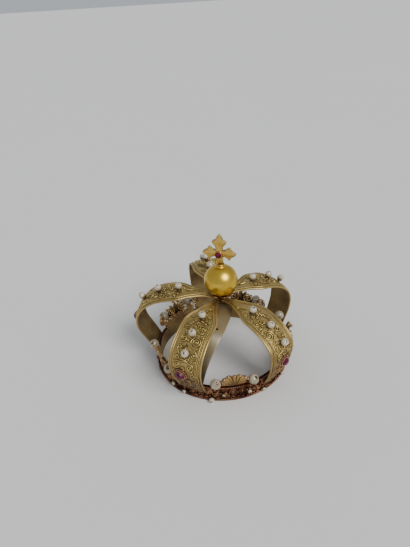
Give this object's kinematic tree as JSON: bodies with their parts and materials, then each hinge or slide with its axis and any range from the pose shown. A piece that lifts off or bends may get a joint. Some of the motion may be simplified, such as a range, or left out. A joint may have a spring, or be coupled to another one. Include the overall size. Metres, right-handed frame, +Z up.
{
  "type": "statue crown",
  "caption": "Small closed gilt crown for a statue: low band, leaf-shaped filigree arches with pearls and glass gems, openwork crests, and an orb with a flared cross on top.",
  "frame": {"origin": "on the ground under the middle of the crown's outline; the band's own axis stands at x 2.3 mm, y -4.2 mm, because five arches do not balance about a box's middle", "axes": "+Z up through the orb and cross, -Y towards the front crest between the two front arches, +X towards the right arch"},
  "size_m": [0.1264, 0.1226, 0.108],
  "materials": {
    "pale_gilt": "matte worn gilding on sheet with soldered wire",
    "red_gilt": "worn gilding, copper showing through",
    "bright_gilt": "polished gilding",
    "plain_metal": "dull bare strip",
    "pearl": "pearl lustre",
    "purple_glass": "cut paste stone",
    "red_glass": "domed paste stone"
  },
  "bodies": {
    "root": {"band": "red_gilt", "arch_front_left": "pale_gilt", "pearl_front_left_upper": "pearl", "pearl_front_left_middle": "pearl", "pearl_front_left_lower": "pearl", "gem_front_left": "purple_glass", "arch_front_right": "pale_gilt", "pearl_front_right_upper": "pearl", "pearl_front_right_middle": "pearl", "pearl_front_right_lower": "pearl", "gem_front_right": "purple_glass", "arch_right": "pale_gilt", "pearl_right_upper": "pearl", "pearl_right_middle": "pearl", "pearl_right_lower": "pearl", "gem_right": "purple_glass", "arch_back": "pale_gilt", "pearl_back_upper": "pearl", "pearl_back_middle": "pearl", "pearl_back_lower": "pearl", "gem_back": "purple_glass", "arch_left": "pale_gilt", "pearl_left_upper": "pearl", "pearl_left_middle": "pearl", "pearl_left_lower": "pearl", "gem_left": "purple_glass", "inner_strap": "plain_metal", "crest_front": "red_gilt", "pearl_crest_front_first": "pearl", "pearl_crest_front_second": "pearl", "crest_right": "red_gilt", "pearl_crest_right_first": "pearl", "pearl_crest_right_second": "pearl", "crest_back_right": "red_gilt", "pearl_crest_back_right_first": "pearl", "pearl_crest_back_right_second": "pearl", "crest_back_left": "red_gilt", "pearl_crest_back_left_first": "pearl", "pearl_crest_back_left_second": "pearl", "crest_left": "red_gilt", "pearl_crest_left_first": "pearl", "pearl_crest_left_second": "pearl", "orb_collar": "bright_gilt", "orb": "bright_gilt", "cross_socket": "bright_gilt", "cross": "bright_gilt", "cross_gem": "red_glass"}
  },
  "joints": []
}
